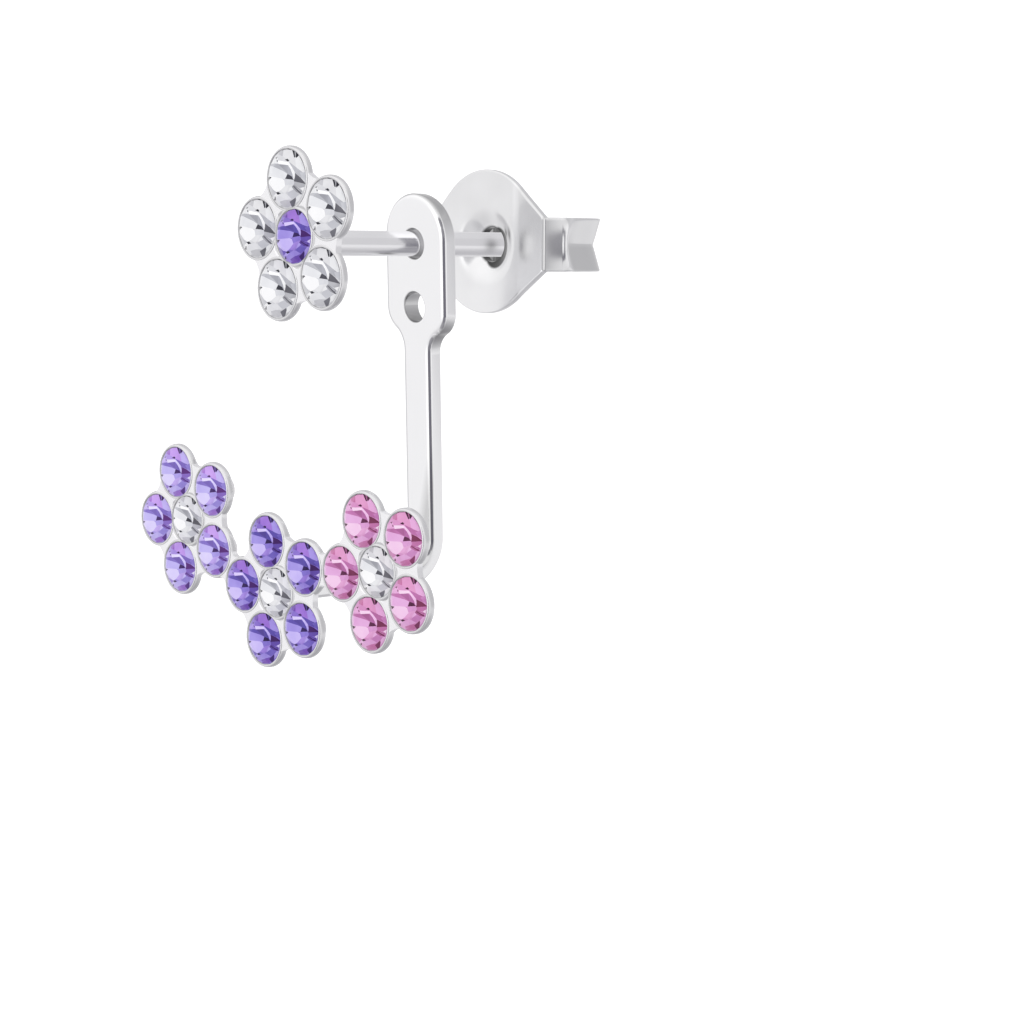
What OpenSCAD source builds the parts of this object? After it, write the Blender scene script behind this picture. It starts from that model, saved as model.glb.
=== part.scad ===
// Ear jacket earring: a stud flower on a post, a jacket of three flowers
// on a bent bar that hangs behind the earlobe, and a scroll ear nut.
// Millimetres. +Z up, the flowers face -Y, the post runs along +Y.
// The origin is the middle of the stud's back pad, where the earlobe seats.

/* [Stud flower] */
// Radius of the ring on which the stud's petal stones stand
stud_ring_r = 1.89; // [1.85:0.01:2.1]
// Girdle diameter of the stud's petal stones
stud_petal_d = 1.94; // [1.7:0.01:1.96]
// Girdle diameter of the stud's centre stone
stud_centre_d = 1.7; // [1.3:0.01:1.74]
// Turn of the stud's first petal from +X
stud_turn = 105; // [90:1:162]
// Height of the stud flower's middle above the post
stud_rise = 0.2; // [0:0.05:0.4]

/* [Jacket flowers] */
// Radius of the ring on which each jacket flower's petal stones stand
jacket_ring_r = 1.73; // [1.7:0.01:1.8]
// Girdle diameter of the jacket's petal stones
jacket_petal_d = 1.74; // [1.6:0.01:1.8]
// Girdle diameter of the jacket's centre stones
jacket_centre_d = 1.58; // [1.2:0.01:1.6]
// Distance of the left and right flowers from the middle one, across
side_x = 4.95; // [4.85:0.01:5]
// Height of the left and right flowers above the middle one
side_z = 1.62; // [1.55:0.01:1.75]
// Depth of the middle flower's centre below the post
flower_drop = 11.6; // [10:0.1:16]
// Turn of the left flower's first petal from +X
left_turn = 44.5; // [42:0.5:48]
// Turn of the middle flower's first petal from +X
middle_turn = 110.5; // [108:0.5:113]
// Turn of the right flower's first petal from +X
right_turn = 119.5; // [117:0.5:122]

/* [Settings] */
// Wall of metal round each stone's seat
rim_wall = 0.1; // [0.08:0.01:0.14]
// Height of the plate and of the straight rims
plate_t = 0.3; // [0.25:0.05:0.4]
// Whole depth of a setting, from the rims to the back of the cups
setting_t = 0.72; // [0.66:0.02:1]
// Depth of the web between the rims below their tops
web_drop = 0.06; // [0.02:0.02:0.12]
// Diameter of the cups' flat backs
cup_back_d = 0.9; // [0.5:0.1:1.1]
// Radius of the fillets between neighbouring rims
web_fillet = 0.3; // [0.2:0.05:0.5]

/* [Stones] */
// Depth of a girdle's top edge below the rims
girdle_sink = 0.04; // [0.02:0.01:0.08]
// Height of a stone's girdle
girdle_h = 0.05; // [0.03:0.01:0.08]
// Height of the crown for each millimetre of girdle radius
crown_share = 0.3; // [0.2:0.02:0.4]
// Radius of the table for each millimetre of girdle radius
table_share = 0.55; // [0.45:0.01:0.65]
// Depth of the pavilion for each millimetre of girdle radius
pavilion_share = 0.48; // [0.35:0.01:0.5]
// Clearance of a stone in its seat, at the girdle
seat_gap = 0.012; // [0.005:0.001:0.02]

/* [Post] */
// Diameter of the post
post_d = 0.85; // [0.7:0.01:0.95]
// Length of the post behind the stud's back pad
post_l = 11.2; // [11:0.1:12]
// Length of the post's rounded point
point_l = 0.35; // [0.2:0.05:0.5]
// Diameter of the post's back pad
pad_d = 1.9; // [1.6:0.1:2.2]

/* [Jacket bar] */
// Distance from the stud's back pad to the front of the bar, at the post
lobe_gap = 4.55; // [4.2:0.05:5.5]
// Thickness of the bar's strip
strip_t = 0.6; // [0.5:0.05:0.8]
// Width of the bar
bar_w = 1.26; // [1:0.02:1.6]
// Width of the bar's head
head_w = 2.86; // [2.4:0.02:3.4]
// Height of the head's top above the post
head_top = 1.7; // [1.5:0.05:2.2]
// Depth below the post at which the head starts to narrow
neck_top = 2.35; // [2.3:0.05:3]
// Length of the neck between the head and the bar
neck_l = 1.1; // [0.9:0.05:1.6]
// Clearance of the post in its hole, on the radius
post_clear = 0.09; // [0.03:0.01:0.1]
// Distance from the post's hole down to the spare hole
hole_pitch = 2.15; // [1.6:0.05:2.3]
// Rake of the bar, backwards at its foot
rake = 6; // [0:0.5:8]
// Inner radius of the bend at the bar's foot
bend_r = 0.85; // [0.6:0.05:1.2]
// Height of the foot's middle above the middle flower's centre
foot_rise = 0.1; // [0:0.05:0.2]

/* [Ear nut] */
// Distance from the stud's back pad to the front of the nut's plate
nut_y = 7.9; // [7.6:0.1:8.3]
// Turn of the nut round the post
nut_turn = 5; // [0:1:20]
// Height of the nut's plate
nut_plate_d = 5.1; // [4.8:0.1:6]
// Thickness of the nut's sheet
sheet_t = 0.28; // [0.22:0.02:0.32]
// Diameter of the hole in the nut's plate
nut_hole_d = 1.32; // [1.1:0.02:1.4]
// Depth of the dish round that hole
dish_depth = 0.4; // [0.2:0.05:0.5]
// Diameter of the dish
dish_d = 3; // [2.6:0.1:3.4]
// Distance from the post to the outside of each scroll
scroll_x = 3.2; // [3:0.05:3.6]
// Height of the scrolls' band
scroll_h = 1.84; // [1.5:0.02:2]
// Straight run of a band, back from the plate's corner
scroll_run = 1.27; // [1.1:0.05:1.6]
// Outer radius of the corner where the plate turns into a band
corner_r = 0.5; // [0.4:0.05:0.6]
// Clearance of each scroll from the post
grip_gap = 0.05; // [0.02:0.01:0.1]

/* [Hidden] */
$fn = 96;
PETALS = 5;
JACKET = ["left", "middle", "right"];
PLACES = concat([for (k = [1:PETALS]) str("petal_stone_", k)], ["centre_stone"]);

SILVER = [0.9, 0.9, 0.91];
CLEAR = [0.93, 0.95, 0.97];
PURPLE = [0.42, 0.27, 0.75];
LILAC = [0.62, 0.5, 0.86];
PINK = [0.9, 0.47, 0.74];

// Each flower: centre x and z, turn, ring radius, petal and centre stone sizes and colours
FX = 0;
FZ = 1;
TURN = 2;
RING = 3;
PETAL_D = 4;
CENTRE_D = 5;
PETAL_COLOUR = 6;
CENTRE_COLOUR = 7;
stud = [0, stud_rise, stud_turn, stud_ring_r, stud_petal_d, stud_centre_d, CLEAR, PURPLE];
left_flower = [-side_x, side_z - flower_drop, left_turn, jacket_ring_r,
    jacket_petal_d, jacket_centre_d, LILAC, CLEAR];
middle_flower = [0, -flower_drop, middle_turn, jacket_ring_r,
    jacket_petal_d, jacket_centre_d, PURPLE, CLEAR];
right_flower = [side_x, side_z - flower_drop, right_turn, jacket_ring_r,
    jacket_petal_d, jacket_centre_d, PINK, CLEAR];
jacket_flowers = [left_flower, middle_flower, right_flower];

// The petals that meet between neighbouring jacket flowers, counted from 0
LEFT_MEETS = 4;
MIDDLE_MEETS_LEFT = 1;
MIDDLE_MEETS_RIGHT = 4;
RIGHT_MEETS = 1;

rim_back = setting_t - plate_t;
girdle_top = setting_t - girdle_sink;
girdle_bottom = girdle_top - girdle_h;
rim_lap = 0.02;   // how far a fillet's arc runs into the rims beside it
cup_step = 0.06;  // how far a cup stays inside its rim
seat_tip_r = 0.04;
post_root = 0.05; // how far the post runs into its pad
seat_floor_gap = 0.03;
solder_t = setting_t / 2; // how deep the pad and the bar's foot run into a setting
cut = 1;          // how far a cut runs past the face that it leaves by

foot_z = foot_rise - flower_drop;
bend_z = foot_z + bend_r + strip_t / 2;
strip_l = -(bend_z + bend_r * sin(rake)) / cos(rake);
bend_y = lobe_gap - bend_r * cos(rake) + strip_l * sin(rake);
hole_d = post_d + 2 * post_clear;
neck_drop = (head_w - bar_w) / 2;
neck_r = (neck_drop * neck_drop + neck_l * neck_l) / (4 * neck_drop);
neck_angle = asin(neck_l / 2 / neck_r);
NECK_STEPS = 8;

grip_x = post_d / 2 + grip_gap;
loop_r = (scroll_x - grip_x) / 2;
loop_x = (scroll_x + grip_x) / 2;
loop_y = corner_r + scroll_run;
LOOP_END = 205;   // angle at which a scroll's inner end stops
plate_corner_x = scroll_x - corner_r;
FLANK_ANGLE = 32; // where the plate's straight flanks leave its round edge, from the top

STAR_SHARE = 0.79; // radius at which a stone's star facets end, for each millimetre of its own
LOW_SHARE = 0.35;  // radius at which its lower girdle facets end

// Centre of petal k of a flower, in the flowers' plane
function petal_at(f, k) = [
    f[FX] + f[RING] * cos(f[TURN] + k * 360 / PETALS),
    f[FZ] + f[RING] * sin(f[TURN] + k * 360 / PETALS)];
function rim_r(d) = d / 2 + seat_gap + rim_wall;

// Sets a shape drawn with x across, y up and z towards the viewer into the part's frame
module facing_front() {
    rotate([90, 0, 0]) children();
}

// Sets a shape drawn with x back, y up and z across into the part's frame
module side_on() {
    rotate([90, 0, 90]) children();
}

// A flat filler between two rims of radius r, ending in a hollow arc on its outer side
module bridge(a, b, r, side = 1) {
    reach = r - rim_lap + web_fillet;
    half = norm(b - a) / 2;
    along = (b - a) / norm(b - a);
    out = side * [along[1], -along[0]];
    tip = (a + b) / 2 + out * sqrt(reach * reach - half * half);
    difference() {
        polygon([a, tip, b]);
        translate(tip) circle(r = web_fillet);
    }
}

// The straight rim and the tapered cup that hold one stone of diameter d
module cup(at, d) {
    translate(at) {
        translate([0, 0, rim_back]) cylinder(r = rim_r(d), h = plate_t);
        cylinder(r1 = cup_back_d / 2, r2 = rim_r(d) - cup_step, h = rim_back);
    }
}

// The space that one stone of diameter d takes in its cup
module seat(at, d) {
    r = d / 2 + seat_gap;
    deep = pavilion_share * d / 2 + seat_floor_gap;
    translate([at[0], at[1], girdle_bottom]) {
        cylinder(r = r, h = cut);
        translate([0, 0, -deep]) cylinder(r1 = seat_tip_r, r2 = r, h = deep);
    }
}

// One flower's cups, with the web and the fillets between them
module flower(f) {
    r = rim_r(f[PETAL_D]);
    for (k = [0:PETALS - 1]) cup(petal_at(f, k), f[PETAL_D]);
    cup([f[FX], f[FZ]], f[CENTRE_D]);
    translate([0, 0, rim_back]) linear_extrude(plate_t - web_drop) {
        polygon([for (k = [0:PETALS - 1]) petal_at(f, k)]);
        for (k = [0:PETALS - 1]) bridge(petal_at(f, k), petal_at(f, k + 1), r);
    }
}

module flower_seats(f) {
    for (k = [0:PETALS - 1]) seat(petal_at(f, k), f[PETAL_D]);
    seat([f[FX], f[FZ]], f[CENTRE_D]);
}

// Both fillets where a petal of one flower meets a petal of the next
module join(a, b, r) {
    translate([0, 0, rim_back]) linear_extrude(plate_t - web_drop) {
        bridge(a, b, r, 1);
        bridge(a, b, r, -1);
    }
}

// The stud's setting and its post, soldered into one piece
module stud_setting() color(SILVER) {
    facing_front() difference() {
        union() {
            flower(stud);
            cylinder(d = pad_d, h = solder_t);
        }
        flower_seats(stud);
    }
    rotate([-90, 0, 0]) {
        translate([0, 0, -post_root]) cylinder(d = post_d, h = post_l - point_l + post_root);
        translate([0, 0, post_l - point_l]) cylinder(d1 = post_d, d2 = post_d / 2, h = point_l);
    }
}

// Seen from the side, x is back: the raked strip, the bend and the foot that runs forward
module strip_side() {
    r_out = bend_r + strip_t;
    translate([lobe_gap, 0]) rotate(rake)
        translate([0, -strip_l]) square([strip_t, strip_l + 2 * head_top]);
    translate([bend_y, bend_z]) difference() {
        circle(r = r_out);
        circle(r = bend_r);
        translate([-2 * r_out, -2 * r_out]) square([2 * r_out, 4 * r_out]);
        rotate(rake) square([2 * r_out, 2 * r_out]);
    }
    translate([-solder_t, foot_z - strip_t / 2]) square([bend_y + solder_t, strip_t]);
}

// Seen from the front: the round head, its neck and the bar below it
module strip_front() {
    half_head = head_w / 2;
    half_bar = bar_w / 2;
    top_arc_z = head_top - half_head;
    shoulder = [for (i = [0:NECK_STEPS]) let (a = i * neck_angle / NECK_STEPS)
        [half_head - neck_r * (1 - cos(a)), -neck_top - neck_r * sin(a)]];
    throat = [for (i = [1:NECK_STEPS]) let (a = neck_angle * (1 - i / NECK_STEPS))
        [half_bar + neck_r * (1 - cos(a)), -neck_top - neck_l + neck_r * sin(a)]];
    right_side = concat(shoulder, throat);
    translate([0, top_arc_z]) circle(r = half_head);
    translate([-half_head, -neck_top]) square([head_w, top_arc_z + neck_top]);
    polygon(concat(right_side, [for (i = [len(right_side) - 1:-1:0])
        [-right_side[i][0], right_side[i][1]]]));
    translate([-half_bar, foot_z - strip_t])
        square([bar_w, -neck_top - neck_l - foot_z + strip_t]);
}

module bar() {
    deep = bend_y + bend_r + strip_t + cut;
    difference() {
        intersection() {
            side_on() linear_extrude(2 * head_w, center = true) strip_side();
            translate([0, deep, 0]) facing_front()
                linear_extrude(deep + setting_t) strip_front();
        }
        for (z = [0, -hole_pitch]) translate([0, lobe_gap - cut, z])
            rotate([-90, 0, 0]) cylinder(d = hole_d, h = strip_t + 2 * cut);
    }
}

// The three flowers' settings and the bar, soldered into one piece
module jacket_frame() color(SILVER) {
    r = rim_r(jacket_petal_d);
    difference() {
        union() {
            facing_front() {
                for (f = jacket_flowers) flower(f);
                join(petal_at(left_flower, LEFT_MEETS),
                    petal_at(middle_flower, MIDDLE_MEETS_LEFT), r);
                join(petal_at(middle_flower, MIDDLE_MEETS_RIGHT),
                    petal_at(right_flower, RIGHT_MEETS), r);
            }
            bar();
        }
        facing_front() for (f = jacket_flowers) flower_seats(f);
    }
}

// Part of a flat ring between two angles less than 180 degrees apart
module ring_sector(r_out, r_in, from, to) {
    far = 2 * r_out;
    mid = (from + to) / 2;
    difference() {
        intersection() {
            circle(r = r_out);
            polygon([[0, 0], far * [cos(from), sin(from)], far * [cos(mid), sin(mid)],
                far * [cos(to), sin(to)]]);
        }
        circle(r = r_in);
    }
}

// One scroll from above, x outwards and y back: corner, straight run, loop and inner end
module scroll_path() {
    translate([plate_corner_x, corner_r])
        ring_sector(corner_r, corner_r - sheet_t, -90, 0);
    translate([scroll_x - sheet_t, corner_r]) square([sheet_t, scroll_run]);
    translate([loop_x, loop_y]) {
        ring_sector(loop_r, loop_r - sheet_t, 0, LOOP_END / 2);
        ring_sector(loop_r, loop_r - sheet_t, LOOP_END / 2, LOOP_END);
    }
}

function flip_y(p) = [p[0], -p[1]];

// The nut's plate, drawn with z back: a disc that narrows into the two bands
module nut_plate() {
    flank = (nut_plate_d / 2 - rim_lap) * [sin(FLANK_ANGLE), cos(FLANK_ANGLE)];
    neck = [plate_corner_x, scroll_h / 2];
    difference() {
        linear_extrude(sheet_t) {
            circle(d = nut_plate_d);
            polygon([flank, neck, flip_y(neck), flip_y(flank),
                -flank, -neck, -flip_y(neck), -flip_y(flank)]);
        }
        translate([0, 0, -cut]) cylinder(d = dish_d, h = sheet_t + 2 * cut);
    }
    rotate_extrude() polygon([[dish_d / 2, 0], [dish_d / 2, sheet_t],
        [nut_hole_d / 2, dish_depth + sheet_t], [nut_hole_d / 2, dish_depth]]);
}

// The scroll nut that slides on the post and holds the jacket on
module ear_nut() color(SILVER) {
    translate([0, nut_y, 0]) rotate([0, -nut_turn, 0]) {
        rotate([-90, 0, 0]) nut_plate();
        for (side = [0, 1]) mirror([side, 0, 0])
            translate([0, 0, -scroll_h / 2]) linear_extrude(scroll_h) scroll_path();
    }
}

// A brilliant-cut stone: table, star, bezel and girdle facets above, pavilion below
module stone(at, d) {
    r = d / 2;
    crown = crown_share * r;
    table = table_share * r;
    deep = pavilion_share * r;
    star = STAR_SHARE * r;
    low = LOW_SHARE * r;
    star_z = crown * (r - star * cos(22.5)) / (r - table);
    low_z = -deep * (1 - low * cos(22.5) / r);
    ring8 = function (q, z, shift) [for (k = [0:7])
        [q * cos(45 * k + shift), q * sin(45 * k + shift), z]];
    ring16 = function (z) [for (k = [0:15]) [r * cos(22.5 * k), r * sin(22.5 * k), z]];
    T = 0;
    S = 8;
    G = 16;
    B = 32;
    L = 48;
    points = concat(ring8(table, crown + girdle_h, 0), ring8(star, star_z + girdle_h, 22.5),
        ring16(girdle_h), ring16(0), ring8(low, low_z, 22.5), [[0, 0, -deep]]);
    culet = len(points) - 1;
    faces = concat([[for (k = [7:-1:0]) T + k]],
        [for (k = [0:7]) let (n = (k + 1) % 8) [T + k, T + n, S + k]],
        [for (k = [0:7]) let (p = (k + 7) % 8) [T + k, S + k, G + 2 * k, S + p]],
        [for (k = [0:7]) [S + k, G + 2 * k + 1, G + 2 * k]],
        [for (k = [0:7]) let (n = (k + 1) % 8) [S + k, G + 2 * n, G + 2 * k + 1]],
        [for (k = [0:15]) let (n = (k + 1) % 16) [G + k, G + n, B + n, B + k]],
        [for (k = [0:7]) [L + k, B + 2 * k, B + 2 * k + 1]],
        [for (k = [0:7]) let (n = (k + 1) % 8) [L + k, B + 2 * k + 1, B + 2 * n]],
        [for (k = [0:7]) let (p = (k + 7) % 8) [culet, L + p, B + 2 * k, L + k]]);
    facing_front() translate([at[0], at[1], girdle_bottom]) polyhedron(points, faces);
}

module flower_stone(f, place) {
    if (place == PETALS) color(f[CENTRE_COLOUR]) stone([f[FX], f[FZ]], f[CENTRE_D]);
    else color(f[PETAL_COLOUR]) stone(petal_at(f, place), f[PETAL_D]);
}

stud_setting();
for (p = [0:PETALS])
    flower_stone(stud, p);
jacket_frame();
for (f = [0:2]) for (p = [0:PETALS])
    flower_stone(jacket_flowers[f], p);
ear_nut();
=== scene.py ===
"""Ear jacket earring: a flower stud, a jacket of three flowers on a bent bar, and a scroll nut.

Shapes are worked out in millimetres, with x across, y back and z up as in the frame, and set in metres.
"""

import bmesh
import bpy
import numpy as np
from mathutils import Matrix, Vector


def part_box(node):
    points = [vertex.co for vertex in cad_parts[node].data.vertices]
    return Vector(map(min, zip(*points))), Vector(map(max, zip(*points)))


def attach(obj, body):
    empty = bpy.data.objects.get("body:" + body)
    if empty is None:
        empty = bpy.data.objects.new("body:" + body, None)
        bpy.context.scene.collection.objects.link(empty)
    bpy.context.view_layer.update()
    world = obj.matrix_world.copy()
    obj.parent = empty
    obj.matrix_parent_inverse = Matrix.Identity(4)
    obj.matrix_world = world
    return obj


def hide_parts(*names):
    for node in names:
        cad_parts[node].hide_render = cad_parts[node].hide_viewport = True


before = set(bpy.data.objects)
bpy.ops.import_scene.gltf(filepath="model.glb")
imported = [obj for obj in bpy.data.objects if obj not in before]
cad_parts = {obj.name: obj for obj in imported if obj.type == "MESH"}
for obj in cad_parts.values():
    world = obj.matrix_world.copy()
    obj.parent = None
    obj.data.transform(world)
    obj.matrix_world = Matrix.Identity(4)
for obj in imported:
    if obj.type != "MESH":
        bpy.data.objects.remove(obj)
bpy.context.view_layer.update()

# Flower cups of the stud.
# Each stone sits in its own cup of cast silver: a thin rounded rim round the stone, a straight wall and a
# tapered back. A flat web just below the rims joins the cups. Deep in the seats no light reaches the metal.
mm = 0.001
rim_front = -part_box("stud_setting")[0].y / mm
plate_back = rim_front - 0.27
web_front = rim_front - 0.03
girdle_back = rim_front - 0.09
seat_gap, seat_cone = 0.008, 0.46
rim_wall, thinnest_rim = 0.1, 0.004
rim_round, rim_fall, lip_round = 0.075, 0.15, 0.02
cup_back_r = 0.45
fillet_r, fillet_lap = 0.3, 0.02
web_lap, web_edge, web_rise = 0.05, 0.05, 0.008
seat_cover, centre_cover = 0.015, 0.04
centre_fill = 1.045
nothing_near = 9.0
wall_foot = [(0, 0.05), (0.012, 0.018), (0.035, 0.004), (0.055, 0), (0.085, -0.015)]
back_corner = [(0.03, 0.05), (0, 0.012), (-0.04, 0)]
# Painted shade of the cups' metal, from the seat up the lip to the rim, wall and back.
seat_shade, lip_shade, rim_shade, wall_shade, back_shade = 0.5, 0.6, 0.82, 0.85, 0.9


def stones_of(flower):
    """Middles (x, z) and widths of a flower's six stones, the centre stone last, from their boxes. The centre
    stone fills the room between the petals."""
    names = [f"{flower}_petal_stone_{k}" for k in range(1, 6)] + [f"{flower}_centre_stone"]
    boxes = np.array([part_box(name) for name in names]) / mm
    return boxes[:, :, [0, 2]].mean(1), (boxes[:, 1, 0] - boxes[:, 0, 0]) * [1, 1, 1, 1, 1, centre_fill]


def room_to(at, angle, centres, radii):
    """Distance from a point, in each direction, to just inside the wall of the nearest seat: along the ray to
    the foot point of the seat's middle, less half the chord that the ray cuts from the seat."""
    along = np.stack([np.cos(angle), np.sin(angle)], -1)
    away = centres - at
    foot = along @ away.T
    half_chord_squared = (radii + seat_cover) ** 2 - (away**2).sum(1) + foot**2
    reach = foot - np.sqrt(np.maximum(half_chord_squared, 0))
    return np.where((half_chord_squared > 0) & (foot > 0), reach, nothing_near).min(1)


def cup(at, width, centres, seats, back=0.0):
    """A cup turned round its stone's axis. Radius and height follow one profile: seat cone, seat wall, a
    small inner lip, a quarter ellipse that rounds the rim over into the wall, the wall and the tapered back.
    The rim is cut short where a neighbour's seat begins. Each row of the profile has a painted shade too:
    darkest in the seat, lighter up the lip, and a little darker than bare metal on the rim, wall and back."""
    angle = np.linspace(0, 2 * np.pi, 120, endpoint=False)
    seat = width / 2 + seat_gap + 0 * angle
    rim = np.clip(room_to(at, angle, centres, seats), seat + thinnest_rim, seat + rim_wall)
    metal = (rim - seat) / rim_wall
    rows = [(0 * rim, girdle_back - seat_cone * width / 2, seat_shade), (seat, girdle_back, seat_shade)]
    for t in np.linspace(0, np.pi / 2, 4):
        rows.append((seat + metal * lip_round * (1 - np.cos(t)), rim_front - lip_round * (1 - np.sin(t)),
                     lip_shade + (rim_shade - lip_shade) * np.sin(t)))
    for t in np.linspace(0, np.pi / 2, 10):
        rows.append((rim - metal * rim_round * (1 - np.sin(t)), rim_front - rim_fall * (1 - np.cos(t)),
                     rim_shade))
    for inset, rise in wall_foot:
        rows.append((rim - inset, plate_back + rise, wall_shade))
    for step, rise in back_corner:
        rows.append((cup_back_r + step + 0 * rim, back + rise, back_shade))
    rows.append((0 * rim, back, back_shade))
    radius = np.array([r for r, _, _ in rows])
    height = np.array([h + 0 * angle for _, h, _ in rows])
    shade = np.array([s + 0 * angle for _, _, s in rows])
    points = np.stack([at[0] + radius * np.cos(angle), -height, at[1] + radius * np.sin(angle), shade], -1)
    return points, False, True


def web(a, b, wall, inner=None):
    """Metal between two cups a and b. Across, it runs from wall to wall; along, from the inner cup, or from a
    like hollow on the far side, to a hollow of the fillet's radius, both found by steps that halve the error.
    The front edge of the hollow is a quarter round."""
    half = np.hypot(*(b - a)) / 2
    across = (b - a) / (2 * half)
    out = np.array([across[1], -across[0]])
    reach = wall + web_lap - fillet_lap + fillet_r
    tip = np.sqrt(reach**2 - half**2)
    touch = fillet_r * half / reach
    rows, cols, first_guess = 25, 17, 0.4
    share, side = np.meshgrid(np.linspace(0, 1, rows), np.linspace(-1, 1, cols), indexing="ij")
    s = share * first_guess
    for _ in range(40):
        u = side * np.minimum(half - np.sqrt(np.maximum(wall**2 - s**2, 0)), touch)
        end = tip - np.sqrt(fillet_r**2 - u**2)
        start = -end
        if inner is not None:
            start = np.sqrt(inner[1] ** 2 - u**2) - inner[0]
        s = s + 0.5 * (start + share * (end - start) - s)
    u_end, s_end = u[-1], s[-1]
    bend = np.linspace(0.2, 1, 5)[:, None] * np.pi / 2
    s_all = np.concatenate([s[:-1], s_end - web_edge + web_edge * np.sin(bend), s_end[None], s[::-1]])
    u_all = np.concatenate([u[:-1], u_end + 0 * bend, u_end[None], u[::-1]])
    front = web_front + 0 * s[:-1]
    s_all[: rows - 1] = np.minimum(s_all[: rows - 1], s_end - web_edge)
    height = np.concatenate([front, web_front - web_edge + web_edge * np.cos(bend) + 0 * u_end,
                             plate_back + web_edge + 0 * u_end[None], plate_back + web_rise + 0 * s])
    middle = (a + b) / 2
    flat = middle + u_all[..., None] * across + s_all[..., None] * out
    points = np.stack([flat[..., 0], -height, flat[..., 1]], -1)
    closed = points[:, [0, -1]].copy()
    closed[..., 1] = -(web_front + plate_back) / 2
    return np.concatenate([closed[:, :1], points, closed[:, 1:]], 1), True, False


def flower_shells(stones, widths, centre_back=0.0):
    """Cups of one flower, and a web between each two petals."""
    seats = widths / 2 + seat_gap
    shells = [cup(stones[5], widths[5], stones[:5], seats[:5], centre_back)]
    for k in range(5):
        others = [i for i in range(6) if i != k]
        shells.append(cup(stones[k], widths[k], stones[others], seats[others]))
        a, b = stones[(k + 1) % 5], stones[k]
        distance = np.hypot(*((a + b) / 2 - stones[5]))
        shells.append(web(a, b, seats[0] + rim_wall - web_lap, (distance, seats[5] + centre_cover)))
    return shells


def quads(rows, cols, wrap_rows, wrap_cols):
    """Four corners of each cell of a grid of points; a wrapped side joins its last line to its first."""
    i, j = np.meshgrid(np.arange(rows - (not wrap_rows)), np.arange(cols - (not wrap_cols)), indexing="ij")
    i2, j2 = (i + 1) % rows, (j + 1) % cols
    return np.stack([i * cols + j, i * cols + j2, i2 * cols + j2, i2 * cols + j], -1).reshape(-1, 4)


def metal_piece(name, shells, sharp=38):
    """One mesh from closed grids of points: points that meet are welded, faces turned outwards, and edges
    sharper than an angle in degrees left crisp. The points' fourth value, where they have one, is how much
    light reaches the metal there, and becomes the attribute shade."""
    points, shades, faces, start = [], [], [], 0
    for grid, wrap_rows, wrap_cols in shells:
        points.append(grid[..., :3].reshape(-1, 3) * mm)
        shades.append(grid[..., 3].ravel() if grid.shape[-1] == 4 else np.ones(grid[..., 0].size))
        faces.append(quads(*grid.shape[:2], wrap_rows, wrap_cols) + start)
        start += grid.shape[0] * grid.shape[1]
    mesh = bpy.data.meshes.new(name)
    mesh.from_pydata(np.concatenate(points).tolist(), [], np.concatenate(faces).tolist())
    shade = mesh.attributes.new("shade", "FLOAT", "POINT")
    shade.data.foreach_set("value", np.concatenate(shades))
    bm = bmesh.new()
    bm.from_mesh(mesh)
    bmesh.ops.remove_doubles(bm, verts=bm.verts, dist=2e-7)
    bmesh.ops.dissolve_degenerate(bm, dist=1e-7, edges=bm.edges)
    bmesh.ops.recalc_face_normals(bm, faces=bm.faces)
    bm.to_mesh(mesh)
    bm.free()
    mesh.shade_smooth()
    mesh.set_sharp_from_angle(angle=np.radians(sharp))
    piece = bpy.data.objects.new(name, mesh)
    bpy.context.scene.collection.objects.link(piece)
    return piece


def turned(profile, at=(0.0, 0.0), steps=64):
    """A profile of (radius, y) points turned round an axis along y."""
    angle = np.linspace(0, 2 * np.pi, steps, endpoint=False)
    radius, y = np.array(profile, float).T
    points = np.stack([at[0] + radius[:, None] * np.cos(angle), y[:, None] + 0 * angle,
                       at[1] + radius[:, None] * np.sin(angle)], -1)
    return points, False, True


stud_stones, stud_widths = stones_of("stud")
stud_shells = flower_shells(stud_stones, stud_widths, centre_back=0.01)

# Back pad and post of the stud.
# A round pad of silver is soldered across the backs of the cups, and the drawn wire of the post stands on
# it in a small fillet of solder. The wire's end is rounded so that it enters the ear. Where the nut grips
# it, a dark patch on both sides of the wire is a painted reflection of the nut's hole.
pad_r, pad_edge, pad_depth, pad_draft = 0.95, 0.08, 0.34, 0.02
post_r = 0.425
post_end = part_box("stud_setting")[1].y / mm
post_point, point_share = 0.35, 0.35
solder_r, solder_foot = 0.12, 0.01
nut_reflection_y, nut_reflection_long, nut_reflection_high, nut_reflection_dark = 7.85, 0.28, 0.5, 0.5
turn = np.linspace(0, np.pi / 2, 8)
pad_shell = turned([(0, -pad_depth), (pad_r - pad_draft, -pad_depth)]
                   + [(pad_r - pad_edge * (1 - np.cos(t)), -pad_edge * (1 - np.sin(t))) for t in turn]
                   + [(0.3, 0.0), (0, 0.0)])
post_shell = turned([(0, -0.03), (post_r + solder_r, -solder_foot)]
                    + [(post_r + solder_r * (1 - np.sin(t)), solder_r * (1 - np.cos(t))) for t in turn]
                    + [(post_r, y) for y in np.linspace(0.5, post_end - post_point, 80)]
                    + [(post_r * (point_share + (1 - point_share) * np.cos(t)),
                        post_end - post_point * (1 - np.sin(t))) for t in turn[1:]] + [(0, post_end)])
post_points = post_shell[0]
# Painted reflection of the nut's hole: a dark patch on both sides of the wire where the nut sits.
along, up = (post_points[..., 1] - nut_reflection_y) / nut_reflection_long, post_points[..., 2] / post_r / nut_reflection_high
nut_reflection = nut_reflection_dark * np.exp(-(along**2) - up**2)
post_shell = (np.concatenate([post_points, 1 - nut_reflection[..., None]], -1), False, True)


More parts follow.
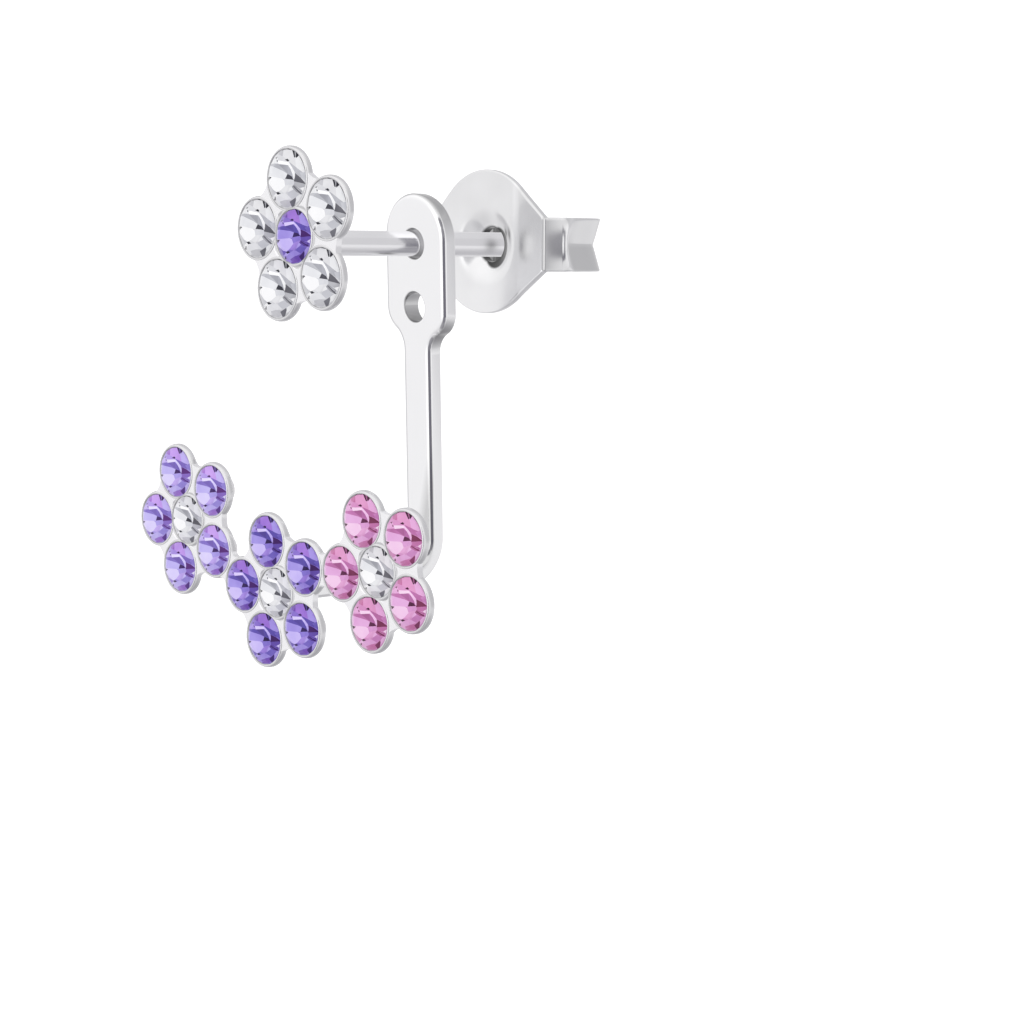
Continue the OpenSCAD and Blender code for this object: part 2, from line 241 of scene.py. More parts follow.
def silver(name, colour, roughness, haze, scratch, smudge=0.03):
    """Polished silver: the gloss wanders with a soft haze, fine hairlines from the polishing cloth lie in it,
    and the piece's shade attribute darkens the base colour: painted shade where light does not reach, and
    some painted reflections."""
    material = bpy.data.materials.new(name)
    material.use_nodes = True
    nodes, links = material.node_tree.nodes, material.node_tree.links
    shader = nodes["Principled BSDF"]
    shader.inputs["Metallic"].default_value = 1.0
    place = nodes.new("ShaderNodeTexCoord")
    cloud = nodes.new("ShaderNodeTexNoise")
    cloud.inputs["Scale"].default_value = 900
    cloud.inputs["Detail"].default_value = 4
    links.new(place.outputs["Object"], cloud.inputs["Vector"])
    gloss = nodes.new("ShaderNodeMapRange")
    gloss.inputs["From Min"].default_value = 0.3
    gloss.inputs["From Max"].default_value = 0.7
    gloss.inputs["To Min"].default_value = roughness
    gloss.inputs["To Max"].default_value = roughness + haze
    links.new(cloud.outputs["Fac"], gloss.inputs["Value"])
    links.new(gloss.outputs["Result"], shader.inputs["Roughness"])
    tone = nodes.new("ShaderNodeMapRange")
    tone.data_type = "FLOAT_VECTOR"
    vector_in, vector_low, vector_high = tone.inputs[6], tone.inputs[9], tone.inputs[10]
    vector_low.default_value = [c * (1 - smudge) for c in colour]
    vector_high.default_value = colour
    links.new(cloud.outputs["Fac"], vector_in)
    # Painted shade and painted reflections: the shade attribute scales the base colour down.
    reach = nodes.new("ShaderNodeAttribute")
    reach.attribute_name = "shade"
    shaded_colour = nodes.new("ShaderNodeVectorMath")
    shaded_colour.operation = "SCALE"
    links.new(tone.outputs["Vector"], shaded_colour.inputs[0])
    links.new(reach.outputs["Fac"], shaded_colour.inputs["Scale"])
    links.new(shaded_colour.outputs["Vector"], shader.inputs["Base Color"])
    stretch = nodes.new("ShaderNodeMapping")
    stretch.inputs["Scale"].default_value = (9000, 2500, 40000)
    links.new(place.outputs["Object"], stretch.inputs["Vector"])
    hairlines = nodes.new("ShaderNodeTexNoise")
    hairlines.inputs["Scale"].default_value = 1
    hairlines.inputs["Detail"].default_value = 2
    links.new(stretch.outputs["Vector"], hairlines.inputs["Vector"])
    relief = nodes.new("ShaderNodeBump")
    relief.inputs["Strength"].default_value = scratch
    relief.inputs["Distance"].default_value = 2e-6
    links.new(hairlines.outputs["Fac"], relief.inputs["Height"])
    links.new(relief.outputs["Normal"], shader.inputs["Normal"])
    return material


stud_setting = metal_piece("stud_setting_polished", stud_shells + [pad_shell, post_shell])
stud_setting.data.materials.append(silver("cast silver, stud", (0.95, 0.947, 0.965), 0.16, 0.06, 0.12))
stud_setting.visible_glossy = False
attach(stud_setting, "stud")
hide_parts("stud_setting")

# Flower settings of the jacket.
# Three flowers like the stud's, a little smaller, are cast in silver with the same cups and webs.
# Neighbouring flowers meet at one petal each, and a web with a hollow on both sides fills each joint.
jacket = ["left", "middle", "right"]
jacket_stones = {name: stones_of(name) for name in jacket}
setting_shells = []
for first, second in (("left", "middle"), ("middle", "right")):
    one, two = jacket_stones[first][0][:5], jacket_stones[second][0][:5]
    gaps = np.hypot(*(one[:, None] - two[None]).transpose(2, 0, 1))
    i, j = np.unravel_index(gaps.argmin(), gaps.shape)
    rim = jacket_stones[first][1][0] / 2 + seat_gap + rim_wall
    setting_shells.append(web(one[i], two[j], rim - web_lap))
for name in jacket:
    setting_shells += flower_shells(*jacket_stones[name])
settings = metal_piece("jacket_settings_cast", setting_shells)
settings.data.materials.append(silver("cast silver, jacket settings", (0.95, 0.947, 0.965), 0.2, 0.08, 0.15))
settings.visible_glossy = False
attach(settings, "jacket")
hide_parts("jacket_frame")

# Bar of the jacket.
# One flat silver strip with a rounded head and two holes, so that the jacket can hang at two heights. It
# narrows to the bar, bends forward at the foot and is soldered to the middle flower. A grey wedge on one side
# of the front is a painted reflection of that flower's back. Tumbling rounded its edges; the hole walls and
# the side edges where they face up or down are painted darker, as painted shade.
lobe_gap = 4.55
strip = 0.68
rake = np.radians(6)
head_half, bar_half = 1.5, 0.68
head_top, neck_top, neck_length, tail = 1.7, 2.25, 1.45, 0.05
hole_r, brim_wide = 0.515, 0.05
hole_pitch = 2.15
bend_r = 0.85
foot_z = jacket_stones["middle"][0][5, 1] + 0.1
foot_flare, foot_end, foot_swell = 0.3, -0.12, 0.16
cell_foot = -(neck_top + neck_length + tail)
# Painted shade on the side edges: darker where they face down, and less where they face up.
edge_lean, edge_step, low_edge_dark, high_edge_dark = 1.4, 0.06, 0.52, 0.45
# Painted shade down the holes' walls, most at their foot and a little at their top.
hole_dark, hole_top_dark, hole_low_dark = 0.3, 0.12, 0.4
# Painted reflection of the middle flower's back: a grey wedge on the right of the bar's front.
flower_reflection_x, flower_reflection_slope, flower_reflection_z, flower_reflection_side, flower_reflection_fade, flower_reflection_dark = 0.45, 0.25, -7.5, -0.3, 0.4, 0.3
flower_reflection_deep = 0.14


def outline(count):
    """Right side of the head from its top down to the bar: a quarter circle, a straight side, and two equal
    arcs that turn the width of the head into that of the bar. Gives evenly spaced points, their outward
    normals, and the count of those above the line between the holes."""
    drop = head_half - bar_half
    arc_r = (drop**2 + neck_length**2) / (4 * drop)
    arc = np.arcsin(neck_length / 2 / arc_r)
    lengths = np.array([head_half * np.pi / 2, neck_top + head_top - head_half,
                        arc_r * arc, arc_r * arc, tail])
    ends = np.concatenate([[0], lengths.cumsum()])
    mid_side = ends[1] + head_top - head_half + hole_pitch / 2
    upper = np.linspace(0, mid_side, count // 2, endpoint=False)
    s = np.concatenate([upper, np.linspace(mid_side, ends[-1], count - count // 2)])
    part = np.clip(np.searchsorted(ends, s, side="right") - 1, 0, 4)
    t = s - ends[part]
    top = t / head_half
    fall = t / arc_r
    rise = arc - fall
    x = np.choose(part, [head_half * np.sin(top), head_half, head_half - arc_r * (1 - np.cos(fall)),
                         bar_half + arc_r * (1 - np.cos(rise)), bar_half])
    z = np.choose(part, [head_top - head_half * (1 - np.cos(top)), head_top - head_half - t,
                         -neck_top - arc_r * np.sin(fall),
                         -neck_top - neck_length + arc_r * np.sin(rise), -neck_top - neck_length - t])
    nx = np.choose(part, [np.sin(top), 1.0, np.cos(fall), np.cos(rise), 1.0])
    nz = np.choose(part, [np.cos(top), 0.0, -np.sin(fall), -np.sin(rise), 0.0])
    return np.stack([x, z], -1), np.stack([nx, nz], -1), count // 2


def edge_profile():
    """Tumbled edge of the strip, from the front's flat to the back's: small steps whose lean grows from the
    front to the side, with a narrow band in the middle at 45 degrees. Gives distance in from the side, and
    depth."""
    lean = np.radians([2, 6, 11, 17, 24, 32, 39, 43, 45, 47, 51, 58, 68, 80])
    step = np.array([30, 30, 30, 30, 30, 25, 20, 25, 30, 25, 15, 15, 15, 20]) / 1000
    across = np.concatenate([[0], (step * np.cos(lean)).cumsum()])
    inset = across[-1] - across
    depth = np.concatenate([[0], (step * np.sin(lean)).cumsum()])
    return np.concatenate([inset, inset[::-1]]), np.concatenate([depth, strip - depth[::-1]])


def raked(x, z, depth):
    """Sets a point of the head at a height and a depth behind the strip's front on the raked strip."""
    return np.stack([x, lobe_gap - z * np.tan(rake) + depth / np.cos(rake), z], -1)


side_points, side_normals, split = outline(120)
inset, depth = edge_profile()
edge_xz = side_points[:, None] - inset[:, None] * side_normals[:, None]
edge_right = raked(edge_xz[..., 0], edge_xz[..., 1], depth)
tilt = side_normals[:, 1:] * edge_lean
side_part = np.clip(np.minimum(depth, strip - depth) / edge_step - 1, 0, 1)
# Painted shade by which way the side edge faces.
edge_shade = 1 - side_part * (low_edge_dark * np.clip(-tilt, 0, 1) + high_edge_dark * np.clip(tilt, 0, 1))
edge_right = np.concatenate([edge_right, edge_shade[..., None]], -1)
edge_left = edge_right * np.array([-1, 1, 1, 1])
head_edge = np.concatenate([edge_left[::-1], edge_right[1:]])
flat_right = edge_xz[:, 0]
seam_x = np.linspace(1, -1, 25)[:, None]
seam_mid = np.concatenate([seam_x * flat_right[split, 0], seam_x * 0 - hole_pitch / 2], 1)
seam_foot = np.concatenate([seam_x * flat_right[-1, 0], seam_x * 0 + cell_foot], 1)
mirror = np.array([-1, 1])


def hole_cell(loop, middle):
    """Front, hole wall and back of one hole's share of the head: straight lines from a loop of points in to
    the hole's edge, a small quarter round, the wall through the strip, and the same out again on the back.
    The shade falls from the rim to the wall, and most at the foot of the hole."""
    way = loop - middle
    way = way / np.hypot(*way.T)[:, None]
    brim, soft = hole_r + brim_wide, brim_wide
    share = np.linspace(0, 1, 10)[:, None, None]
    flat = loop + share * (middle + way * brim - loop)
    t = np.linspace(0, np.pi / 2, 6)[1:, None, None]
    lip = middle + way * (brim - soft * np.sin(t))
    lip_depth = soft * (1 - np.cos(t)) + 0 * way[:, :1]
    xz = np.concatenate([flat, lip, lip[::-1], flat[::-1]])
    depth = np.concatenate([0 * flat[..., :1], lip_depth, strip - lip_depth[::-1], strip + 0 * flat[..., :1]])
    up, down = np.clip(way[:, 1:], 0, 1), np.clip(-way[:, 1:], 0, 1)
    hole_shade = 1 - (hole_dark + hole_top_dark * up + hole_low_dark * down) * np.sin(t)
    shade = np.concatenate([1 + 0 * flat[..., :1], hole_shade, hole_shade[::-1], 1 + 0 * flat[..., :1]])
    return np.concatenate([raked(xz[..., 0], xz[..., 1], depth[..., 0]), shade], -1), False, True


upper_loop = np.concatenate([flat_right[: split + 1], seam_mid[1:-1], (flat_right * mirror)[split:0:-1]])
lower_loop = np.concatenate([flat_right[split:], seam_foot[1:-1], (flat_right * mirror)[: split - 1 : -1],
                             seam_mid[-2:0:-1]])
bar_shells = [(head_edge, False, False)]
bar_shells.append(hole_cell(upper_loop, np.array([0.0, 0.0])))
bar_shells.append(hole_cell(lower_loop, np.array([0.0, -hole_pitch])))

bend_z = foot_z + bend_r + strip / 2
strip_length = -(bend_z + bend_r * np.sin(rake)) / np.cos(rake)
bend_y = lobe_gap - bend_r * np.cos(rake) + strip_length * np.sin(rake)
ring_x = np.concatenate([seam_foot[:, 0], -bar_half + inset, -seam_foot[:, 0], bar_half - inset[::-1]])
ring_depth = np.concatenate([0 * seam_foot[:, 0], depth, 0 * seam_foot[:, 0] + strip, depth[::-1]])
straight = np.linspace(0, 1, 40)[:, None]
start_length = (ring_depth * np.sin(rake) - cell_foot) / np.cos(rake)
run = start_length + straight * (strip_length - start_length)
leg = np.stack([ring_x + 0 * run, lobe_gap + ring_depth * np.cos(rake) + run * np.sin(rake),
                ring_depth * np.sin(rake) - run * np.cos(rake)], -1)
swing = np.linspace(rake, -np.pi / 2, 28)[1:, None]
elbow = np.stack([ring_x + 0 * swing, bend_y + (bend_r + ring_depth) * np.cos(swing),
                  bend_z + (bend_r + ring_depth) * np.sin(swing)], -1)
foot_y = np.concatenate([np.linspace(bend_y, foot_flare + 0.05, 10)[1:],
                         np.linspace(foot_flare, foot_end, 9)])[:, None]
swell = 1 + foot_swell * np.clip((foot_flare - foot_y) / (foot_flare - foot_end), 0, 1) ** 2
foot = np.stack([ring_x * swell, foot_y + 0 * ring_x, foot_z + (strip / 2 - ring_depth) * swell], -1)
foot_cap = foot[-1:].mean(1, keepdims=True) + 0 * foot[-1:]
stem = np.concatenate([leg, elbow, foot, foot_cap])
# Painted reflection: the front's right side darkens past a slanting line.
flower_reflection_line = np.maximum(flower_reflection_x + flower_reflection_slope * (stem[..., 2] - flower_reflection_z), flower_reflection_side)
flower_reflection = flower_reflection_dark * np.clip((stem[..., 0] - flower_reflection_line) / flower_reflection_fade, 0, 1) * (ring_depth < flower_reflection_deep)
bar_shells.append((np.concatenate([stem, 1 - flower_reflection[..., None]], -1), False, True))

jacket_bar = metal_piece("jacket_bar_polished", bar_shells)
jacket_bar.data.materials.append(silver("polished silver, jacket bar", (0.95, 0.95, 0.96), 0.08, 0.05, 0.1))
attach(jacket_bar, "jacket")
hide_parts("jacket_frame")

# Crystals.
# Round brilliant-cut crystals with a flat table, eight star, eight main and sixteen girdle facets, foiled
# at the back. The foil would mirror the pavilion's facets through the table as a fan of bright and dark
# facets; here that fan is a painted reflection, inlaid into the crown with the cut's own planes untouched.
table_share = 0.55
star_share = 0.79
crown_share = 0.3
pavilion_share = 0.48
girdle_share = 0.055
fan_lean = (1.2, 0.25, 1.0)
plain_light = 0.55

# Painted reflections of the facets seen in the stone: lightness, warmth, and corners in shares of the stone's
# radius.
painted_reflections = [
    (0.36, -0.3, [(-0.07, 0.54), (0.13, 0.39), (0.38, 0.25), (0.91, 0.21), (0.88, 0.47)]),
    (0.45, 0.2, [(-0.99, -0.36), (-0.87, -0.63), (-0.67, -0.83), (-0.52, -0.78), (-0.38, -0.63)]),
    (0.60, 0.6, [(-0.45, 0.87), (-0.43, 0.58), (0.34, 0.46), (0.25, 0.68), (0.16, 0.84), (0.00, 1.01)]),
    (0.39, 1.0, [(-0.67, 0.62), (-0.43, 0.61), (-0.45, 0.88), (-0.65, 0.76)]),
    (0.53, 0.2, [(-0.71, 0.45), (-0.61, 0.40), (-0.07, 0.47), (-0.07, 0.54), (-0.43, 0.61),
        (-0.67, 0.62)]),
    (0.70, 0.0, [(0.20, 0.81), (0.33, 0.47), (0.45, 0.44), (0.74, 0.41), (0.87, 0.48), (0.81, 0.69),
        (0.58, 0.88), (0.34, 0.97)]),
    (0.62, 0.1, [(0.55, 0.66), (0.79, 0.56), (0.82, 0.66), (0.65, 0.83)]),
    (0.46, -0.5, [(0.58, 0.35), (0.72, 0.24), (0.96, 0.18), (0.99, 0.38), (0.87, 0.47)]),
    (0.68, 0.1, [(-0.97, 0.21), (-0.55, 0.28), (-0.61, 0.40), (-0.66, 0.48), (-0.74, 0.49),
        (-0.93, 0.31)]),
    (0.38, -0.2, [(-1.00, 0.13), (0.00, 0.10), (-0.09, 0.39), (-0.92, 0.22)]),
    (0.30, -0.5, [(-0.56, 0.28), (-0.00, 0.11), (-0.09, 0.39)]),
    (0.34, -0.7, [(-0.09, 0.39), (-0.00, 0.10), (0.32, 0.05), (0.23, 0.18), (0.10, 0.30)]),
    (0.70, -0.3, [(-1.03, -0.04), (-1.00, -0.23), (-0.76, -0.21), (-0.24, -0.14), (-0.07, -0.09),
        (0.00, 0.10), (-0.25, 0.13), (-1.00, 0.13)]),
    (0.90, 0.0, [(-0.99, -0.31), (-0.87, -0.46), (-0.57, -0.61), (-0.38, -0.63), (-0.22, -0.53),
        (-0.01, -0.31), (-0.11, -0.15), (-0.24, -0.13), (-0.96, -0.23)]),
    (0.58, -0.4, [(-0.11, -0.15), (0.02, -0.28), (0.40, -0.14), (0.44, -0.02), (0.37, 0.01),
        (-0.07, -0.09)]),
    (0.65, 0.2, [(-0.22, -0.53), (0.04, -0.55), (0.17, -0.45), (0.41, -0.13), (0.02, -0.28)]),
    (0.38, 0.3, [(0.38, 0.00), (0.43, -0.17), (0.77, -0.12), (0.92, -0.04), (1.00, 0.11)]),
    (0.30, 0.3, [(0.32, -0.24), (0.53, -0.32), (0.78, -0.31), (0.88, -0.18), (0.40, -0.13)]),
    (0.45, 0.2, [(0.43, -0.19), (0.58, -0.24), (0.85, -0.22), (0.67, -0.19)]),
    (1.00, 0.0, [(0.76, -0.12), (0.91, -0.18), (0.96, -0.01)]),
    (0.48, -0.5, [(0.17, -0.48), (0.19, -0.56), (0.43, -0.60), (0.65, -0.46), (0.75, -0.36),
        (0.31, -0.24)]),
    (0.76, 0.0, [(0.17, -0.48), (0.42, -0.30), (0.31, -0.23), (0.23, -0.33)]),
    (0.68, -0.2, [(-0.35, -0.77), (-0.34, -0.85), (-0.13, -0.86), (0.13, -0.74), (0.43, -0.60),
        (0.20, -0.55), (0.04, -0.54), (-0.22, -0.67)]),
    (0.42, 0.6, [(-0.16, -0.87), (0.00, -0.92), (0.31, -0.75), (0.45, -0.68), (0.43, -0.64),
        (0.13, -0.73)]),
    (0.42, 0.8, [(-0.11, -1.00), (0.31, -0.91), (0.56, -0.73), (0.45, -0.67), (0.00, -0.91)]),
    (0.15, 0.1, [(0.35, -0.72), (0.52, -0.84), (0.63, -0.76), (0.65, -0.55), (0.61, -0.49)]),
    (0.75, 0.0, [(0.65, -0.46), (0.66, -0.66), (0.81, -0.52), (0.91, -0.31), (0.87, -0.26),
        (0.75, -0.36)]),
    (0.68, 0.1, [(-0.56, -0.83), (-0.29, -0.97), (-0.07, -0.99), (-0.13, -0.86), (-0.38, -0.78)]),
    (0.80, 0.0, [(-0.53, -0.79), (-0.34, -0.78), (-0.22, -0.67), (-0.38, -0.65)]),
    (0.04, -0.6, [(-0.08, -0.09), (0.36, 0.01), (0.22, 0.09), (-0.01, 0.10)]),
    (0.11, 1.0, [(0.36, 0.25), (0.37, -0.03), (1.00, 0.10), (0.67, 0.21)]),
    (1.00, 0.0, [(-0.61, 0.40), (-0.55, 0.28), (-0.04, 0.40), (-0.07, 0.49)]),
    (0.90, 0.0, [(-0.07, 0.49), (-0.04, 0.40), (0.10, 0.30), (0.15, 0.39)]),
    (0.84, 0.0, [(0.10, 0.30), (0.23, 0.18), (0.32, 0.28), (0.15, 0.39)]),
    (0.78, 0.0, [(0.23, 0.18), (0.32, 0.05), (0.38, 0.03), (0.38, 0.16), (0.32, 0.28)]),
    (0.00, 0.0, [(0.16, 0.75), (0.22, 0.77), (0.08, 1.02), (-0.04, 1.01)]),
    (0.28, 0.0, [(0.08, 1.02), (0.22, 0.79), (0.26, 0.80), (0.21, 1.01)]),
    (0.00, 0.0, [(0.23, 0.80), (0.26, 0.76), (0.40, 0.93), (0.20, 1.01)]),
    (0.00, 0.0, [(-0.28, 0.52), (-0.10, 0.51), (-0.05, 0.56), (-0.15, 0.60)]),
    (0.00, 0.0, [(-0.42, -0.66), (-0.30, -0.70), (-0.16, -0.62), (-0.30, -0.60)]),
    (0.00, 0.0, [(-0.97, -0.24), (-0.90, -0.37), (-0.78, -0.24)]),
    (0.05, 0.0, [(-0.48, -0.88), (-0.35, -0.88), (-0.40, -0.77)]),
    (0.10, 0.0, [(-0.70, 0.42), (-0.66, 0.33), (-0.60, 0.38)]),
    (0.10, 0.0, [(-0.79, 0.47), (-0.71, 0.44), (-0.68, 0.53)]),
    (0.12, 0.3, [(0.84, -0.31), (0.90, -0.27), (0.42, -0.17), (0.37, -0.20)]),
    (0.05, 0.0, [(-0.31, 0.92), (-0.32, 0.97), (-0.53, 0.88), (-0.55, 0.81)]),
    (0.05, 0.0, [(-0.04, 0.97), (-0.04, 1.03), (-0.32, 0.97), (-0.31, 0.92)]),
    (0.05, 0.0, [(0.67, 0.70), (0.72, 0.73), (0.44, 0.93), (0.40, 0.89)]),
    (0.05, 0.0, [(0.87, 0.44), (0.92, 0.45), (0.72, 0.73), (0.67, 0.70)]),
    (0.05, 0.0, [(0.98, 0.14), (1.03, 0.15), (0.92, 0.46), (0.88, 0.43)]),
]


def brilliant():
    """Points and faces of a stone of radius 1: rings of eight, eight, sixteen and sixteen points on cones
    whose heights fall linearly from the table to the girdle, and a cone below down to the point."""
    eighth = np.arange(8) * np.pi / 4
    sixteenth = np.arange(16) * np.pi / 8
    fall = crown_share / (1 - table_share)
    star_h = girdle_share + fall * (1 - star_share * np.cos(np.pi / 8))

    def ring(angle, radius, height):
        return np.stack([radius * np.cos(angle), radius * np.sin(angle), height + 0 * angle], -1)

    points = np.concatenate([ring(eighth, table_share, girdle_share + crown_share),
                             ring(eighth + np.pi / 8, star_share, star_h),
                             ring(sixteenth, 1, girdle_share), ring(sixteenth, 1, 0.0),
                             [[0, 0, -pavilion_share]]])
    star, upper, lower, tip = 8, 16, 32, 48
    k = np.arange(8)
    n, p = (k + 1) % 8, (k + 7) % 8
    j = np.arange(16)
    m = (j + 1) % 16
    faces = [list(k)]
    faces += np.stack([k, star + k, n], -1).tolist()
    faces += np.stack([k, star + p, upper + 2 * k, star + k], -1).tolist()
    faces += np.stack([star + k, upper + 2 * k, upper + 1 + 2 * k], -1).tolist()
    faces += np.stack([star + k, upper + 1 + 2 * k, upper + 2 * n], -1).tolist()
    faces += np.stack([upper + j, lower + j, lower + m, upper + m], -1).tolist()
    faces += np.stack([lower + j, tip + 0 * j, lower + m], -1).tolist()
    return points, faces


def cut_stone(turn):
    """A stone of radius 1 with its painted reflections inlaid: planes through each painted facet's sides,
    leaning as the fan leans in the crown, cut the crown's faces, and the faces left inside them all take the
    facet's lightness and warmth. turn turns the fan, in degrees."""
    points, faces = brilliant()
    mesh = bpy.data.meshes.new("cut stone")
    mesh.from_pydata(points.tolist(), [], faces)
    bm = bmesh.new()
    bm.from_mesh(mesh)
    bmesh.ops.recalc_face_normals(bm, faces=bm.faces)
    light = bm.faces.layers.float.new("light")
    warmth = bm.faces.layers.float.new("warmth")
    for face in bm.faces:
        face[light] = plain_light
    angle = np.radians(turn)
    spin = np.array([[np.cos(angle), -np.sin(angle)], [np.sin(angle), np.cos(angle)]])
    for tone, warm, corners in painted_reflections:
        loop = np.array(corners) @ spin.T
        inside = [f for f in bm.faces if f.normal.z > 0.05]
        for a, b in zip(loop, np.roll(loop, -1, 0)):
            start = np.array([*a, girdle_share])
            normal = np.cross([*(b - a), 0], fan_lean)
            geometry = list({g for f in inside for g in (f, *f.edges, *f.verts)})
            cut = bmesh.ops.bisect_plane(bm, geom=geometry, dist=1e-5, plane_co=start, plane_no=normal)
            inside = [g for g in cut["geom"] if isinstance(g, bmesh.types.BMFace)]
            middles = np.array([f.calc_center_median() for f in inside]).reshape(-1, 3)
            keep = (middles - start) @ normal < 0
            inside = [f for f, kept in zip(inside, keep) if kept]
        for face in inside:
            face[light] = tone
            face[warmth] = warm
    bm.to_mesh(mesh)
    bm.free()
    return mesh


def crystal(name, stops, warm, cool):
    """Foiled crystal: the painted lightness picks a tone from the stone's own scale, from dark to bright, and
    warmth leans it to a warm or a cool hue; a faint cloud in the foil breaks up each facet, under a hard
    polished face. The same colour also glows faintly, as painted light."""
    cloudiness = 0.22
    material = bpy.data.materials.new(name)
    material.use_nodes = True
    nodes, links = material.node_tree.nodes, material.node_tree.links
    shader = nodes["Principled BSDF"]
    light = nodes.new("ShaderNodeAttribute")
    light.attribute_name = "light"
    place = nodes.new("ShaderNodeTexCoord")
    foil = nodes.new("ShaderNodeTexNoise")
    foil.inputs["Scale"].default_value = 1400
    foil.inputs["Detail"].default_value = 3
    links.new(place.outputs["Object"], foil.inputs["Vector"])
    sway = nodes.new("ShaderNodeMath")
    sway.operation = "MULTIPLY_ADD"
    sway.inputs[1].default_value = cloudiness
    sway.inputs[2].default_value = -cloudiness / 2
    links.new(foil.outputs["Fac"], sway.inputs[0])
    level = nodes.new("ShaderNodeMath")
    level.operation = "ADD"
    links.new(light.outputs["Fac"], level.inputs[0])
    links.new(sway.outputs["Value"], level.inputs[1])
    scale = nodes.new("ShaderNodeValToRGB")
    scale.color_ramp.elements[0].color = (*stops[0], 1)
    scale.color_ramp.elements[1].color = (*stops[-1], 1)
    for k, stop in enumerate(stops[1:-1]):
        scale.color_ramp.elements.new((k + 1) / (len(stops) - 1)).color = (*stop, 1)
    links.new(level.outputs["Value"], scale.inputs["Fac"])
    lean = nodes.new("ShaderNodeAttribute")
    lean.attribute_name = "warmth"
    colour = scale.outputs["Color"]
    for hue, sign in ((warm, 0.5), (cool, -0.5)):
        amount = nodes.new("ShaderNodeMath")
        amount.operation = "MULTIPLY"
        amount.use_clamp = True
        amount.inputs[1].default_value = sign
        links.new(lean.outputs["Fac"], amount.inputs[0])
        tint = nodes.new("ShaderNodeMix")
        tint.data_type = "RGBA"
        tint.blend_type = "MULTIPLY"
        share, under, over = tint.inputs[0], tint.inputs[6], tint.inputs[7]
        over.default_value = (*hue, 1)
        links.new(amount.outputs["Value"], share)
        links.new(colour, under)
        colour = tint.outputs[2]
    links.new(colour, shader.inputs["Base Color"])
    # Painted light: the stone glows faintly in its own painted colour.
    links.new(colour, shader.inputs["Emission Color"])
    shader.inputs["Emission Strength"].default_value = 0.12
    shader.inputs["Roughness"].default_value = 0.04
    shader.inputs["Specular IOR Level"].default_value = 0.15
    return material


clear = crystal("clear crystal", [(0.02, 0.02, 0.03), (0.21, 0.21, 0.24), (0.53, 0.535, 0.57),
                                  (0.72, 0.725, 0.75), (0.88, 0.885, 0.9), (0.97, 0.97, 0.98)],
                (1.0, 0.98, 0.97), (0.9, 0.92, 1.0))
purple = crystal("deep purple crystal", [(0.02, 0.006, 0.06), (0.06, 0.03, 0.19), (0.12, 0.085, 0.42),
                                         (0.27, 0.19, 0.64), (0.46, 0.38, 0.85), (0.68, 0.59, 0.94)],
                 (1.7, 0.6, 1.0), (0.8, 1.0, 1.05))
lilac = crystal("lilac crystal", [(0.04, 0.012, 0.09), (0.12, 0.06, 0.29), (0.24, 0.17, 0.57),
                                  (0.44, 0.355, 0.8), (0.61, 0.54, 0.92), (0.76, 0.7, 0.95)],
                (1.6, 0.65, 1.0), (0.82, 1.0, 1.05))
pink = crystal("pink crystal", [(0.05, 0.008, 0.03), (0.27, 0.06, 0.16), (0.53, 0.18, 0.42),
                                (0.7, 0.33, 0.61), (0.82, 0.48, 0.77), (0.91, 0.66, 0.85)],
               (1.05, 0.85, 0.75), (0.94, 1.0, 1.2))
petal_crystal = {"stud": clear, "left": lilac, "middle": purple, "right": pink}
petal_slot = {"stud": "clear_crystal", "left": "lilac_crystal", "middle": "purple_crystal",
              "right": "pink_crystal"}
clear_turn, coloured_turn = -12, 0
templates = {True: cut_stone(clear_turn), False: cut_stone(coloured_turn)}
for flower in ["stud"] + jacket:
    stones, widths = stones_of(flower)
    for k, (middle, width) in enumerate(zip(stones, widths)):
        centre = k == 5
        material = petal_crystal[flower]
        slot = petal_slot[flower]
        if centre:
            material, slot = (purple, "purple_crystal") if flower == "stud" else (clear, "clear_crystal")
        node = f"{flower}_centre_stone" if centre else f"{flower}_petal_stone_{k + 1}"
        mesh = templates[material is clear].copy()
        points = np.zeros(len(mesh.vertices) * 3)
        mesh.vertices.foreach_get("co", points)
        x, z, h = points.reshape(-1, 3).T * width / 2
        points = np.stack([middle[0] + x, -(girdle_back + h), middle[1] + z], -1) * mm
        mesh.vertices.foreach_set("co", points.ravel())
        mesh.materials.append(material)
        mesh.update()
        stone = bpy.data.objects.new(node + "_cut", mesh)
        bpy.context.scene.collection.objects.link(stone)
        stone.visible_glossy = False
        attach(stone, "stud" if flower == "stud" else "jacket")
        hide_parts(node)
for template in templates.values():
    bpy.data.meshes.remove(template)

# Scroll nut.
# One pressed sheet of silver: a round plate with a dished hole that narrows into two bands, each bent
# back and rolled into a scroll that grips the post. The bands are creased along their middle. The dish is
# painted dark down its throat and the scrolls painted darker inside, as painted shade; two dark marks beside
# the hole are painted reflections, and the plate and bands carry more painted shade and painted highlights.
nut_y = 7.9
nut_turn = np.radians(5)
sheet, edge = 0.28, 0.07
plate_r, plate_rise = 2.5, 0.1
nut_hole_r = 0.61
dish_r, dish_depth, dish_bulge = 1.5, 0.4, 1.2
band_half = 0.92
scroll_x = 3.3
corner_r = 0.5
scroll_run = 1.27
grip_x = 0.475
loop_r = (scroll_x - grip_x) / 2
loop_x = (scroll_x + grip_x) / 2
loop_end = np.radians(205)
plate_corner = scroll_x - corner_r
flank_start, flank_bend = 1.7, 0.09


